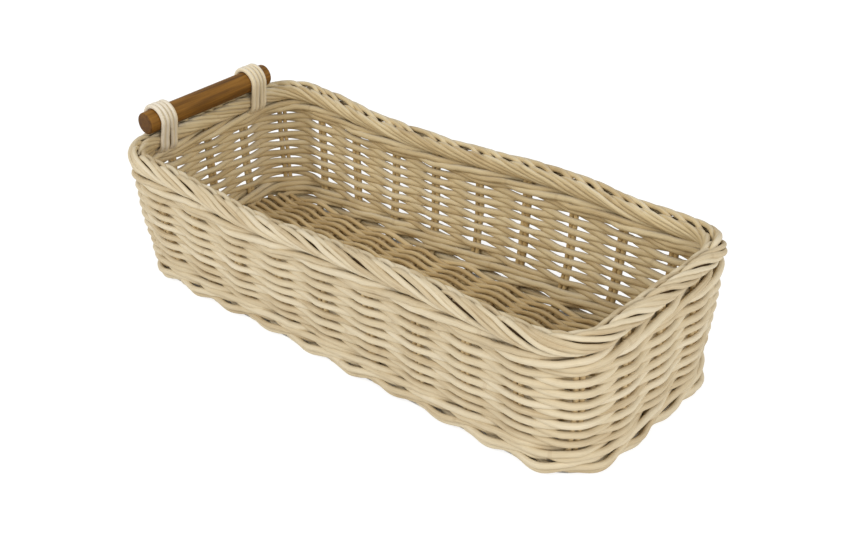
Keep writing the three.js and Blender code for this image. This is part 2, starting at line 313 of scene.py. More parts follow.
# Cane: what each pattern adds to the tone, and the colours laid over it
TONE_SHARE = 0.28
FIBRE_SHARE = 0.46
BLOTCH_SHARE = 0.27
JOINT_STRENGTH = 0.16
JOINT_COLOR = (0.30, 0.19, 0.09, 1.0)
# Painted shade and bounce light: the side of a cane that faces into the basket is darkened and warmed, from
# none at INNER_START to the full tint at INNER_FULL
INNER_SHADE_TINT = (1.0, 0.95, 0.80, 1.0)
INNER_START = -0.15
INNER_FULL = -0.75
# Painted shadow: the dark brown that canes marked as shaded take, for the pockets of the border
PAINTED_SHADE_COLOR = linear(92, 68, 40)
CANE_BUMP = 0.45
CANE_SPECULAR = 0.3
CANE_GLOSS_SPREAD = 0.1
WALL_DIRECTION = (1 / border_plan["half_length"] ** 2, 1 / border_plan["half_width"] ** 2, 0.0)


def strand_value(tree, name):
    return add_node(tree, "ShaderNodeAttribute", attribute_name=name).outputs["Fac"]


def cane_material(name, stops, roughness):
    """Peeled cane: each strand has its own tone, with fibre streaks along it and faint joints.

    The side that faces into the basket is painted darker and warmer, as painted shade and bounce light, and
    canes marked as shaded are painted dark brown as painted shadow.
    """
    material, tree = new_material(name)
    coordinates = add_node(tree, "ShaderNodeTexCoord").outputs
    place = coordinates["Object"]
    tone = strand_value(tree, "tone")
    along = strand_value(tree, "along")
    around = add_node(tree, "ShaderNodeAttribute", attribute_name="around").outputs["Vector"]
    own_start = times(tree, tone, TONE_JUMP)
    fibre_run = plus(tree, times(tree, along, FIBRE_PER_METRE), own_start)
    fibre_place = added(tree, scaled(tree, around, FIBRE_ROUND), along_z(tree, fibre_run))
    fibre = noise(tree, fibre_place, FIBRE_SCALE, detail=5.0, roughness=0.65)["Fac"]
    blotch = noise(tree, place, BLOTCH_SCALE, detail=3.0, roughness=0.6)["Fac"]
    mixed = plus(tree, times(tree, tone, TONE_SHARE), times(tree, fibre, FIBRE_SHARE))
    mixed = plus(tree, mixed, times(tree, blotch, BLOTCH_SHARE))
    color = color_ramp(tree, mixed, stops)
    joint_run = plus(tree, times(tree, along, JOINTS_PER_METRE), own_start)
    joint = calc(tree, "LESS_THAN", calc(tree, "FRACT", joint_run), JOINT_WIDTH)
    color = blended(tree, "MIX", times(tree, joint, JOINT_STRENGTH), color, JOINT_COLOR)
    outward = unit(tree, vector_calc(tree, "MULTIPLY", {0: place, 1: WALL_DIRECTION})[0])
    facing = vector_calc(tree, "DOT_PRODUCT", {0: coordinates["Normal"], 1: outward})["Value"]
    # Painted shade: how far a face points into the basket sets how much of the shade tint it takes
    inner_range = {"Value": facing, "From Min": INNER_START, "From Max": INNER_FULL}
    inner_shade = add_node(tree, "ShaderNodeMapRange", inner_range).outputs["Result"]
    color = blended(tree, "MULTIPLY", inner_shade, color, INNER_SHADE_TINT)
    # Painted shadow: canes marked as shaded turn to the painted shade colour
    color = blended(tree, "MIX", strand_value(tree, "shade"), color, PAINTED_SHADE_COLOR)
    gloss = (roughness - CANE_GLOSS_SPREAD, roughness + CANE_GLOSS_SPREAD)
    add_surface(tree, color, fibre, CANE_BUMP, gloss, CANE_SPECULAR)
    return material


# Stained wood
GRAIN_STRETCH = (1.0, 0.045, 1.0)
GRAIN_SCALE = 520.0
BAND_SCALE = 130.0
GRAIN_SHARE = 0.62
BAND_SHARE = 0.45
WOOD_STOPS = [
    (0.33, linear(68, 42, 9)),
    (0.48, linear(112, 74, 22)),
    (0.60, linear(137, 94, 33)),
    (0.75, linear(159, 115, 49)),
]
WOOD_BUMP = 0.3
WOOD_GLOSS = (0.55, 0.75)
WOOD_SPECULAR = 0.25
END_GRAIN_DEPTH = 0.0006
END_GRAIN_STRENGTH = 0.55
END_GRAIN_COLOR = linear(58, 32, 14)


def stained_wood_material(half_length):
    """Brown stained wood with grain along the bar and darker ends."""
    material, tree = new_material("stained_wood")
    place = add_node(tree, "ShaderNodeTexCoord").outputs["Object"]
    stretched = add_node(tree, "ShaderNodeMapping", {"Vector": place, "Scale": GRAIN_STRETCH}).outputs[0]
    grain = noise(tree, stretched, GRAIN_SCALE, detail=7.0, roughness=0.62)["Fac"]
    band = noise(tree, stretched, BAND_SCALE, detail=2.0)["Fac"]
    mixed = plus(tree, times(tree, grain, GRAIN_SHARE), times(tree, band, BAND_SHARE))
    color = color_ramp(tree, mixed, WOOD_STOPS)
    side = add_node(tree, "ShaderNodeSeparateXYZ", {0: place}).outputs["Y"]
    end = calc(tree, "GREATER_THAN", calc(tree, "ABSOLUTE", side), half_length - END_GRAIN_DEPTH)
    color = blended(tree, "MIX", times(tree, end, END_GRAIN_STRENGTH), color, END_GRAIN_COLOR)
    add_surface(tree, color, grain, WOOD_BUMP, WOOD_GLOSS, WOOD_SPECULAR)
    return material


# Cane trees

CANE_INPUTS = (
    ("Cane Radius", "NodeSocketFloat", STRAND / 2),
    ("Cane Sides", "NodeSocketInt", 10),
    ("Thickness Spread", "NodeSocketFloat", 0.11),
    ("Unevenness", "NodeSocketFloat", 0.0016),
    ("Unevenness Scale", "NodeSocketFloat", 17.0),
    ("Wobble", "NodeSocketFloat", 0.0008),
    ("Seed", "NodeSocketInt", 1),
    ("Material", "NodeSocketMaterial", None),
)
COURSE_INPUTS = (
    ("Strands", "NodeSocketInt", 2),
    ("Turn Per Stake", "NodeSocketFloat", math.pi),
    ("Turn Start", "NodeSocketFloat", 0.0),
    ("Pass Bias", "NodeSocketFloat", 0.0),
    ("Pass Gain", "NodeSocketFloat", 0.93),
    ("Pass Point", "NodeSocketFloat", 0.10),
    ("Pass Depth", "NodeSocketFloat", (ROD + STRAND) / 2),
    ("Rise Gain", "NodeSocketFloat", 1.0),
    ("Rise Height", "NodeSocketFloat", STRAND / 2),
    ("Strand Step", "NodeSocketFloat", 0.0),
    ("Scallop", "NodeSocketFloat", 0.0),
)
WOBBLE_SCALE = 60.0
WOBBLE_JUMP = 9.0
NOISE_TO_REACH = 2.0
GIRTH_SEED_STEP = 7.0


def new_tree(name, sockets):
    tree = bpy.data.node_groups.new(name, "GeometryNodeTree")
    tree.interface.new_socket(name="Geometry", in_out="OUTPUT", socket_type="NodeSocketGeometry")
    tree.interface.new_socket(name="Geometry", in_out="INPUT", socket_type="NodeSocketGeometry")
    for label, kind, default in sockets:
        made = tree.interface.new_socket(name=label, in_out="INPUT", socket_type=kind)
        if default is not None:
            made.default_value = default
    return tree, tree.nodes.new("NodeGroupInput").outputs


def attribute(tree, name, data_type):
    return add_node(tree, "GeometryNodeInputNamedAttribute", {"Name": name}, data_type=data_type).outputs[0]


def stored(tree, geometry, name, data_type, value):
    inputs = {"Geometry": geometry, "Name": name, "Value": value}
    settings = {"data_type": data_type, "domain": "POINT"}
    return add_node(tree, "GeometryNodeStoreNamedAttribute", inputs, **settings).outputs[0]


def moved(tree, geometry, offset):
    return add_node(tree, "GeometryNodeSetPosition", {"Geometry": geometry, "Offset": offset}).outputs[0]


def lines_to_curves(tree, mesh):
    return add_node(tree, "GeometryNodeMeshToCurve", {"Mesh": mesh}).outputs[0]


def held(tree, value):
    """The value, kept between -1 and 1."""
    return add_node(tree, "ShaderNodeClamp", {"Value": value, "Min": -1.0, "Max": 1.0}).outputs[0]


def drawn(tree, strand, seed, low, high):
    """A number drawn for each strand; inputs 2 and 3 and output 1 are the node's plain numbers."""
    inputs = {2: low, 3: high, "ID": strand, "Seed": seed}
    return add_node(tree, "FunctionNodeRandomValue", inputs, data_type="FLOAT").outputs[1]


def wander(tree, place, scale, reach):
    """A smooth shift that changes from place to place and goes either way by the reach at most."""
    centred = added(tree, noise(tree, place, scale, detail=1.0)["Color"], (-0.5, -0.5, -0.5))
    return scaled(tree, centred, times(tree, reach, NOISE_TO_REACH))


def finish_cane(tree, given, curve):
    """Bends the strands a little, sweeps a round cane along them and marks tone, length and girth."""
    index = add_node(tree, "GeometryNodeInputIndex").outputs[0]
    on_strand = {"data_type": "INT", "domain": "CURVE"}
    strand = add_node(tree, "GeometryNodeFieldOnDomain", {0: index}, **on_strand).outputs[0]
    tone = drawn(tree, strand, given["Seed"], 0.0, 1.0)
    position = add_node(tree, "GeometryNodeInputPosition").outputs[0]
    shared = wander(tree, position, given["Unevenness Scale"], given["Unevenness"])
    own_place = added(tree, position, along_z(tree, times(tree, tone, WOBBLE_JUMP)))
    own = wander(tree, own_place, WOBBLE_SCALE, given["Wobble"])
    curve = moved(tree, curve, added(tree, shared, own))
    length = add_node(tree, "GeometryNodeSplineParameter").outputs["Length"]
    curve = stored(tree, curve, "along", "FLOAT", length)
    curve = stored(tree, curve, "tone", "FLOAT", tone)
    pick = drawn(tree, strand, plus(tree, given["Seed"], GIRTH_SEED_STEP), -1.0, 1.0)
    girth = plus(tree, 1.0, times(tree, pick, given["Thickness Spread"]))
    girth = times(tree, girth, attribute(tree, "girth", "FLOAT"))
    round_cane = {"Resolution": given["Cane Sides"], "Radius": given["Cane Radius"]}
    circle = add_node(tree, "GeometryNodeCurvePrimitiveCircle", round_cane).outputs[0]
    around = unit(tree, add_node(tree, "GeometryNodeInputPosition").outputs[0])
    mesh = add_node(tree, "GeometryNodeCurveToMesh", {
        "Curve": curve,
        "Profile Curve": stored(tree, circle, "around", "FLOAT_VECTOR", around),
        "Scale": girth,
        "Fill Caps": True,
    }).outputs[0]
    mesh = add_node(tree, "GeometryNodeSetShadeSmooth", {"Geometry": mesh}).outputs[0]
    mesh = add_node(tree, "GeometryNodeRealizeInstances", {"Geometry": mesh}).outputs[0]
    finish = {"Geometry": mesh, "Material": given["Material"]}
    mesh = add_node(tree, "GeometryNodeSetMaterial", finish).outputs[0]
    add_node(tree, "NodeGroupOutput", {0: mesh})


def cane_lengths_tree():
    """Sweeps a cane along every line of a mesh."""
    tree, given = new_tree("cane_lengths", CANE_INPUTS)
    finish_cane(tree, given, lines_to_curves(tree, given["Geometry"]))
    return tree


def woven_course_tree():
    """Weaves strands past the stakes and round each other, along a line that knows its place among them."""
    tree, given = new_tree("woven_course", COURSE_INPUTS + CANE_INPUTS)
    line = {"Geometry": lines_to_curves(tree, given["Geometry"]), "Amount": given["Strands"]}
    copies = add_node(tree, "GeometryNodeDuplicateElements", line, domain="SPLINE").outputs
    strand = copies["Duplicate Index"]
    place = plus(tree, attribute(tree, "place", "FLOAT"), strand)
    angle = plus(tree, times(tree, place, given["Turn Per Stake"]), given["Turn Start"])
    point = times(tree, calc(tree, "COSINE", times(tree, angle, 3.0)), given["Pass Point"])
    wave = plus(tree, calc(tree, "COSINE", angle), point)
    swing = held(tree, plus(tree, given["Pass Bias"], times(tree, wave, given["Pass Gain"])))
    lift = held(tree, times(tree, calc(tree, "SINE", angle), given["Rise Gain"]))
    between = calc(tree, "SINE", times(tree, place, math.pi))
    scallop = times(tree, times(tree, between, between), given["Scallop"])
    reach = plus(tree, times(tree, swing, given["Pass Depth"]), scallop)
    outward = scaled(tree, attribute(tree, "outward", "FLOAT_VECTOR"), reach)
    top_strand = times(tree, minus(tree, given["Strands"], 1.0), 0.5)
    level = times(tree, minus(tree, top_strand, strand), given["Strand Step"])
    height = plus(tree, times(tree, lift, given["Rise Height"]), level)
    upward = scaled(tree, attribute(tree, "rise", "FLOAT_VECTOR"), height)
    woven = moved(tree, copies["Geometry"], added(tree, outward, upward))
    finish_cane(tree, given, woven)
    return tree


def point_values(lines, label, default):
    """One value for each point of the lines, in order."""
    values = []
    for line in lines:
        values.extend(line.get(label, [default] * len(line["points"])))
    return values


def line_mesh(name, lines):
    """A mesh of plain lines. Each line is a dict with points, whether it closes, and values per point."""
    mesh = bpy.data.meshes.new(name)
    points = []
    edges = []
    for line in lines:
        first = len(points)
        count = len(line["points"])
        points.extend(line["points"])
        edges.extend((first + i, first + i + 1) for i in range(count - 1))
        if line.get("closed"):
            edges.append((first + count - 1, first))
    mesh.from_pydata(points, edges, [])
    # A point's shade is how much painted shadow it takes, none unless given
    numbers = {"girth": 1.0, "shade": 0.0}
    directions = ()
    if "place" in lines[0]:
        numbers["place"] = 0.0
        directions = ("outward", "rise")
    for label, default in numbers.items():
        values = mesh.attributes.new(label, "FLOAT", "POINT")
        values.data.foreach_set("value", point_values(lines, label, default))
    for label in directions:
        values = mesh.attributes.new(label, "FLOAT_VECTOR", "POINT")
        values.data.foreach_set("vector", [part for line in lines for way in line[label] for part in way])
    return mesh


def grown(name, mesh, tree, values):
    """Runs a tree on a mesh of lines and keeps the result as a plain mesh object."""
    made = bpy.data.objects.new(name, mesh)
    bpy.context.scene.collection.objects.link(made)
    modifier = made.modifiers.new("weave", "NODES")
    modifier.node_group = tree
    sockets = [item for item in tree.interface.items_tree if item.in_out == "INPUT"]
    identifiers = {socket.name: socket.identifier for socket in sockets}
    for label, value in values.items():
        modifier[identifiers[label]] = value
    depsgraph = bpy.context.evaluated_depsgraph_get()
    result = bpy.data.meshes.new_from_object(
        made.evaluated_get(depsgraph),
        preserve_all_data_layers=True,
        depsgraph=depsgraph,
    )
    made.modifiers.clear()
    made.data = result
    result.name = name
    bpy.data.meshes.remove(mesh)
    return made


def dress(piece, body, nodes):
    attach(piece, body)
    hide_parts(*nodes)


course_tree = woven_course_tree()
lengths_tree = cane_lengths_tree()

weaver_cane = cane_material("weaver_cane", [
    (0.25, linear(168, 143, 104)),
    (0.42, linear(200, 182, 148)),
    (0.58, linear(213, 198, 167)),
    (0.78, linear(225, 213, 188)),
], 0.66)
base_cane = cane_material("base_cane", [
    (0.25, linear(174, 147, 104)),
    (0.42, linear(203, 180, 138)),
    (0.58, linear(215, 194, 153)),
    (0.78, linear(225, 206, 168)),
], 0.66)
stake_cane = cane_material("stake_cane", [
    (0.25, linear(176, 150, 106)),
    (0.5, linear(200, 176, 132)),
    (0.75, linear(214, 194, 152)),
], 0.68)
lashing_cane = cane_material("lashing_cane", [
    (0.25, linear(214, 200, 174)),
    (0.5, linear(226, 215, 194)),
    (0.75, linear(234, 225, 208)),
], 0.62)

# Wall courses

STEPS_PER_STAKE = 16
RISE_PROBE = 0.001
ROW_DEPTH = 0.0029
FOOT_WALE_ANGLE = math.radians(57)
FOOT_WALE_FACING = math.radians(62)
TWO_AND_TWO = {
    "Turn Start": -math.pi / 4,
    "Pass Gain": 1.6,
    "Pass Point": 0.0,
    "Rise Gain": 1.42,
}
THREE_AND_ONE = {
    "Turn Start": -math.pi / 2,
    "Pass Bias": 1.0,
    "Pass Gain": 2.0,
    "Pass Point": 0.0,
    "Rise Height": 0.0036,
    "Scallop": 0.0026,
    "Cane Radius": FOOT_CANE / 2,
}


def course_ring(point_at, rise_at, outward_at):
    """A closed line round the wall, with its place among the stakes."""
    line = {"points": [], "place": [], "outward": [], "rise": [], "closed": True}
    for step in range(STAKE_COUNT * STEPS_PER_STAKE):
        place = step / STEPS_PER_STAKE
        turn = turn_at(place)
        line["points"].append(point_at(turn))
        line["place"].append(place)
        line["outward"].append(outward_at(turn))
        line["rise"].append(rise_at(turn))
    return line


def wall_ring(level):
    """A ring on the wall, whose strands stand straight out from it."""
    def point_at(turn):
        return wall_point(turn, level)

    def rise_at(turn):
        return (wall_point(turn, level + RISE_PROBE) - wall_point(turn, level - RISE_PROBE)).normalized()

    def outward_at(turn):
        return plan_point(foot_plan, turn)[2]
    return course_ring(point_at, rise_at, outward_at)


def bend_ring(angle, facing):
    """A ring on the bend at the foot, whose strands stand out in the facing direction."""
    up = Vector((0.0, 0.0, 1.0))

    def point_at(turn):
        return bend_point(turn, angle)

    def rise_at(turn):
        return plan_point(foot_plan, turn)[2] * math.cos(facing) + up * math.sin(facing)

    def outward_at(turn):
        return plan_point(foot_plan, turn)[2] * math.sin(facing) - up * math.cos(facing)
    return course_ring(point_at, rise_at, outward_at)


def add_row(row):
    """Two weavers of the plain weave, one in front of each stake and the other behind it."""
    ring = wall_ring(lower_wale_level + row_pitch * row)
    piece = grown(f"plain_row_{row}", line_mesh("row_line", [ring]), course_tree, {
        "Pass Depth": ROW_DEPTH,
        "Rise Height": 0.0,
        "Strand Step": row_pitch / 2,
        "Seed": row,
        "Material": weaver_cane,
    })
    dress(piece, "basket", [f"row_{row}_weaver_a", f"row_{row}_weaver_b"])


def add_wale(name, ring, weave):
    """Four rods that take turns in front of the stakes and behind them."""
    piece = grown(name, line_mesh("wale_line", [ring]), course_tree, {
        "Strands": WALE_RODS,
        "Turn Per Stake": 2 * math.pi / WALE_RODS,
        "Seed": SEEDS[name],
        "Material": weaver_cane,
        **weave,
    })
    dress(piece, "basket", [f"{name}_rod_{i}" for i in range(1, WALE_RODS + 1)])


for row in range(1, ROW_COUNT + 1):
    add_row(row)
add_wale("foot_wale", bend_ring(FOOT_WALE_ANGLE, FOOT_WALE_FACING), THREE_AND_ONE)
add_wale("lower_wale", wall_ring(lower_wale_level), TWO_AND_TWO)
add_wale("top_wale", wall_ring(top_wale_level), TWO_AND_TWO)

# Stakes

STAKE_TOP_TUCK = 0.004
FOOT_STEPS = 4
BEND_STEPS = 8
WALL_STEPS = 24
CROSS_STEPS = 40
SQUARE_ENOUGH = 0.01


def stake_line(turn, side, foot_reach):
    """One cane of a stake pair, from its foot in the base up into the border."""
    outward = plan_point(foot_plan, turn)[2]
    shift = Vector((-outward.y, outward.x, 0.0)) * (side * ROD / 2)
    top = border_level - border_radius + STAKE_TOP_TUCK
    points = []
    if foot_reach:
        for i in range(FOOT_STEPS):
            points.append(bend_point(turn, 0.0, -foot_reach * (1 - i / FOOT_STEPS)))
    for i in range(BEND_STEPS + 1):
        points.append(bend_point(turn, math.pi / 2 * i / BEND_STEPS))
    for i in range(1, WALL_STEPS + 1):
        points.append(wall_point(turn, foot_level + (top - foot_level) * i / WALL_STEPS))
    return [point + shift for point in points]


def cross_stake_line(turn, side):
    """One cane of a cross stake: down one long side, under the base and up the other."""
    near = stake_line(turn, side, 0.0)
    far = stake_line(1 - turn, -side, 0.0)
    under = [far[0].lerp(near[0], i / CROSS_STEPS) for i in range(1, CROSS_STEPS)]
    return far[::-1] + under + near


def stake_kind(outward):
    """What a stake is called, by the side of the basket that it stands on."""
    if abs(outward.x) > SQUARE_ENOUGH and abs(outward.y) > SQUARE_ENOUGH:
        return "corner_stake"
    if abs(outward.y) > abs(outward.x):
        return "cross_stake"
    return "far_end_stake" if outward.x > 0 else "handle_end_stake"


def add_stakes():
    counts = {"cross_stake": 0, "handle_end_stake": 0, "far_end_stake": 0, "corner_stake": 0}
    for k in range(STAKE_COUNT):
        turn = turn_at(k)
        outward = plan_point(foot_plan, turn)[2]
        kind = stake_kind(outward)
        if kind == "cross_stake" and outward.y < 0:
            continue
        counts[kind] += 1
        node = f"{kind}_{counts[kind]}"
        lines = []
        for side in (-1, 1):
            if kind == "cross_stake":
                lines.append({"points": cross_stake_line(turn, side)})
            else:
                lines.append({"points": stake_line(turn, side, END_FOOT_LENGTH)})
        piece = grown(f"{node}_canes", line_mesh("stake_lines", lines), lengths_tree, {
            "Cane Radius": ROD / 2,
            "Seed": SEEDS["first_stake"] + k,
            "Material": stake_cane,
        })
        dress(piece, "basket", [node])


add_stakes()

# Base mat

BASE_LIFT = 0.0006
BASE_PITCH = 0.0065
BASE_MARGIN = 0.0030
BASE_DEPTH = 0.0034
BASE_STEPS = 160
FIRST_CROSS_STAKE = 3
LAST_CROSS_STAKE = 11

cross_stakes = range(FIRST_CROSS_STAKE, LAST_CROSS_STAKE + 1)
cross_stake_x = [plan_point(foot_plan, turn_at(k))[0] for k in cross_stakes]


def base_place(x):
    """Place of a point of the base among the cross stakes, which aren't evenly spaced."""
    index = 0
    while index < len(cross_stake_x) - 2 and x < cross_stake_x[index + 1]:
        index += 1
    here = cross_stake_x[index]
    return index + (here - x) / (here - cross_stake_x[index + 1])


def base_line(y, reach):
    """The middle line of two base weavers, which runs the length of the basket."""
    line = {"points": [], "place": [], "outward": [], "rise": []}
    for i in range(BASE_STEPS + 1):
        x = -reach + 2 * reach * i / BASE_STEPS
        line["points"].append(Vector((x, y, raised(x, stick_level + BASE_LIFT))))
        line["place"].append(base_place(x))
        line["outward"].append(Vector((0.0, 0.0, 1.0)))
        line["rise"].append(Vector((0.0, 1.0, 0.0)))
    return line


def add_base():
    half_width = foot_plan["half_width"] - BASE_MARGIN
    half_length = foot_plan["half_length"] - BASE_MARGIN
    corner = FOOT_CORNER - BASE_MARGIN
    rows = int(2 * half_width / BASE_PITCH)
    lines = []
    for row in range(rows):
        y = (row - (rows - 1) / 2) * BASE_PITCH
        over = max(abs(y) - (half_width - corner), 0.0)
        reach = half_length - corner + math.sqrt(max(corner * corner - over * over, 0.0))
        lines.append(base_line(y, reach))
    piece = grown("base_weave", line_mesh("base_lines", lines), course_tree, {
        "Pass Depth": BASE_DEPTH,
        "Rise Height": 0.0,
        "Strand Step": BASE_PITCH / 2,
        "Cane Radius": BASE_CANE / 2,
        "Unevenness": 0.0009,
        "Wobble": 0.0005,
        "Seed": SEEDS["base_weave"],
        "Material": base_cane,
    })
    dress(piece, "basket", ["base_mat"])


add_base()

# Rolled border

BORDER_STRANDS_PER_STAKE = 3
BORDER_STEPS = 72
BORDER_SLIP = 0.10
BORDER_SWELL = 0.0003
STRAND_STRETCH = 0.020
CORE_RADIUS = 0.0032
CORE_DROP = 0.0006
CORE_STEPS = 300
# The core takes the painted shadow in full
CORE_PAINTED_SHADE = 1.0
ROLL_SMOOTHING = 0.22
ROLL_SAMPLES = 3
# Along one strand, in half stake spacings: roll angle from the outward side, and how far it has sunk in
ROLL = (
    (0.00, 122.0, 0.0042),
    (0.25, 128.0, 0.0016),
    (0.55, 136.0, 0.0),
    (2.30, 210.0, 0.0),
    (3.95, 296.0, 0.0),
    (5.90, 412.0, 0.0),
    (6.60, 440.0, 0.0),
    (6.80, 448.0, 0.0012),
    (7.00, 455.0, 0.0042),
)


def roll_line(travel):
    """Roll angle and sunk depth at a distance along a strand, straight between the entries of the roll."""
    index = 0
    while index < len(ROLL) - 2 and travel > ROLL[index + 1][0]:
        index += 1
    here = ROLL[index]
    ahead = ROLL[index + 1]
    share = (travel - here[0]) / (ahead[0] - here[0])
    return here[1] + (ahead[1] - here[1]) * share, here[2] + (ahead[2] - here[2]) * share


def roll_at(travel):
    """The same, with its bends rounded."""
    steps = range(-ROLL_SAMPLES, ROLL_SAMPLES + 1)
    samples = [roll_line(travel + ROLL_SMOOTHING * i / ROLL_SAMPLES) for i in steps]
    angle = sum(sample[0] for sample in samples) / len(samples)
    sunk = sum(sample[1] for sample in samples) / len(samples)
    return math.radians(angle), sunk


def border_strand(start, slip, swell, stretch):
    """One cane of the border: over the top, down the inside, under, and back up along the outside."""
    points = []
    for i in range(BORDER_STEPS + 1):
        travel = ROLL[-1][0] * i / BORDER_STEPS
        angle, sunk = roll_at(travel)
        radius = border_radius - BORDER_CANE / 2 + swell - sunk
        run = travel * (1 + stretch)
        turn = turn_at((start / BORDER_STRANDS_PER_STAKE + (slip - run) / 2) % STAKE_COUNT)
        points.append(border_point(turn, radius * math.cos(angle), radius * math.sin(angle)))
    return points


def border_core():
    """A cane ring inside the roll, painted dark brown as painted shadow in the pockets where the roll's
    canes part.
    """
    turns = [turn_at(STAKE_COUNT * i / CORE_STEPS) for i in range(CORE_STEPS)]
    return {
        "points": [border_point(turn, 0.0, -CORE_DROP) for turn in turns],
        "closed": True,
        "girth": [2 * CORE_RADIUS / BORDER_CANE] * CORE_STEPS,
        "shade": [CORE_PAINTED_SHADE] * CORE_STEPS,
    }


def add_border():
    draw = random.Random(SEEDS["border_slips"])
    lines = []
    for start in range(STAKE_COUNT * BORDER_STRANDS_PER_STAKE):
        slip = draw.uniform(-BORDER_SLIP, BORDER_SLIP)
        swell = draw.uniform(-BORDER_SWELL, BORDER_SWELL)
        stretch = STRAND_STRETCH * (start % BORDER_STRANDS_PER_STAKE)
        lines.append({"points": border_strand(start, slip, swell, stretch)})
    lines.append(border_core())
    piece = grown("border_canes", line_mesh("border_lines", lines), lengths_tree, {
        "Cane Radius": BORDER_CANE / 2,
        "Unevenness": 0.0014,
        "Wobble": 0.0007,
        "Seed": SEEDS["border_canes"],
        "Material": weaver_cane,
    })
    dress(piece, "basket", ["rolled_border"])


add_border()

# Handle bar

BAR_ROUNDING = 0.0014
BAR_SIDES = 64
BAR_END_RING = 0.5
ROUNDING_STEPS = 6
HALF_BAR_STEPS = 12

bar_low, bar_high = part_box("handle_bar")
bar_centre = Vector([(low + high) / 2 for low, high in zip(bar_low, bar_high)])
bar_radius = (bar_high[2] - bar_low[2]) / 2
bar_half = (bar_high[1] - bar_low[1]) / 2


def bar_profile():
    """Radius and place along the bar, from the middle of one end to the middle of the other."""
    end = [(0.0, -bar_half), (bar_radius * BAR_END_RING, -bar_half)]
    for i in range(ROUNDING_STEPS + 1):
        angle = math.pi / 2 * i / ROUNDING_STEPS
        radius = bar_radius - BAR_ROUNDING * (1 - math.sin(angle))
        end.append((radius, -bar_half + BAR_ROUNDING * (1 - math.cos(angle))))
    straight_half = -bar_half + BAR_ROUNDING
    steps = range(1, 2 * HALF_BAR_STEPS)
    middle = [(bar_radius, straight_half * (1 - i / HALF_BAR_STEPS)) for i in steps]
    return end + middle + [(radius, -y) for radius, y in reversed(end)]


def bar_ring(work, radius, y):
    """One ring of the bar's points, or a single point at the middle of an end."""
    if radius == 0.0:
        return [work.verts.new(bar_centre + Vector((0.0, y, 0.0)))]
    ring = []
    for i in range(BAR_SIDES):
        angle = 2 * math.pi * i / BAR_SIDES
        place = Vector((radius * math.cos(angle), y, radius * math.sin(angle)))
        ring.append(work.verts.new(bar_centre + place))
    return ring


def add_bar():
    mesh = bpy.data.meshes.new("bar")
    work = bmesh.new()
    rings = [bar_ring(work, radius, y) for radius, y in bar_profile()]
    for lower, upper in zip(rings, rings[1:]):
        for i in range(BAR_SIDES):
            ahead = (i + 1) % BAR_SIDES
            if len(lower) == 1:
                work.faces.new((lower[0], upper[i], upper[ahead]))
            elif len(upper) == 1:
                work.faces.new((lower[i], lower[ahead], upper[0]))
            else:
                work.faces.new((lower[i], lower[ahead], upper[ahead], upper[i]))
    bmesh.ops.recalc_face_normals(work, faces=work.faces)
    for face in work.faces:
        face.smooth = True
    work.to_mesh(mesh)
    work.free()
    mesh.materials.append(stained_wood_material(bar_half))
    piece = bpy.data.objects.new("wooden_bar", mesh)
    bpy.context.scene.collection.objects.link(piece)
    dress(piece, "bar", ["handle_bar"])


add_bar()

# Lashings

LASHING_ROOM = 0.0002
LASHING_SLACK = 0.0008
LASHING_LEAN = 0.001
LASHING_SIDES = 12
ARC_STEPS = 32
LOOP_SPACING = 0.002


def lashing_loop(y, over_bar, round_border, lean):
    """A closed loop over the bar and under the border, like a belt on two pulleys."""
    bar_middle = Vector((bar_centre.x, y, bar_centre.z))
    border_x = -border_plan["half_length"]
    border_middle = Vector((border_x, y + lean, raised(border_x, border_level)))
    points = []
    for middle, radius, start in ((bar_middle, over_bar, 0.0), (border_middle, round_border, math.pi)):
        for i in range(ARC_STEPS + 1):
            angle = start + math.pi * i / ARC_STEPS
            points.append(middle + Vector((radius * math.cos(angle), 0.0, radius * math.sin(angle))))
    loop = []
    for here, ahead in zip(points, points[1:] + points[:1]):
        parts = max(1, int((ahead - here).length / LOOP_SPACING))
        loop.extend(here.lerp(ahead, i / parts) for i in range(parts))
    return loop


def add_lashing(node):
    low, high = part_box(node)
    middle = (low[1] + high[1]) / 2
    draw = random.Random(SEEDS[node])
    lines = []
    for strand in range(LASHING_STRANDS):
        y = middle + (strand - (LASHING_STRANDS - 1) / 2) * LASHING_CANE
        over_bar = bar_radius + LASHING_CANE / 2 + LASHING_ROOM
        round_border = border_radius + LASHING_CANE / 2 + draw.uniform(0.0, LASHING_SLACK)
        lean = draw.uniform(-LASHING_LEAN, LASHING_LEAN)
        lines.append({"points": lashing_loop(y, over_bar, round_border, lean), "closed": True})
    piece = grown(f"{node}_canes", line_mesh("lashing_lines", lines), lengths_tree, {
        "Cane Radius": LASHING_CANE / 2,
        "Cane Sides": LASHING_SIDES,
        "Unevenness": 0.0,
        "Wobble": 0.0002,
        "Seed": SEEDS[node],
        "Material": lashing_cane,
    })
    dress(piece, "basket", [node])


add_lashing("near_lashing")
add_lashing("far_lashing")

# Floor, light and camera

FLOOR_HALF = 4.0
FLOOR_COLOR = (0.9, 0.9, 0.9, 1.0)
SEEN_WHITE = (0.80, 0.80, 0.80, 1.0)
SEEN_SHADE = (0.34, 0.34, 0.34, 1.0)
WHITE = (1.0, 1.0, 1.0, 1.0)
WORLD_STRENGTH = 0.55
LIGHT_AIM = Vector((0.0, 0.0, 0.04))
LIGHT_SIZE = 1.0
KEY_PLACE = Vector((-0.45, -1.25, 1.00))
KEY_POWER = 10.5
FILL_PLACE = Vector((1.25, -0.35, 0.75))
FILL_POWER = 8.8


def seen_rays(tree):
    """One for the rays that should meet a white background, and nothing for those that carry light."""
    rays = add_node(tree, "ShaderNodeLightPath").outputs
    seen = calc(tree, "MAXIMUM", rays["Is Camera Ray"], rays["Is Glossy Ray"])
    return calc(tree, "MAXIMUM", seen, rays["Is Transmission Ray"])


def past_straight(tree, side, straight):
    """How far a place lies past the straight part of a side."""
    return calc(tree, "MAXIMUM", minus(tree, calc(tree, "ABSOLUTE", side), straight), 0.0)


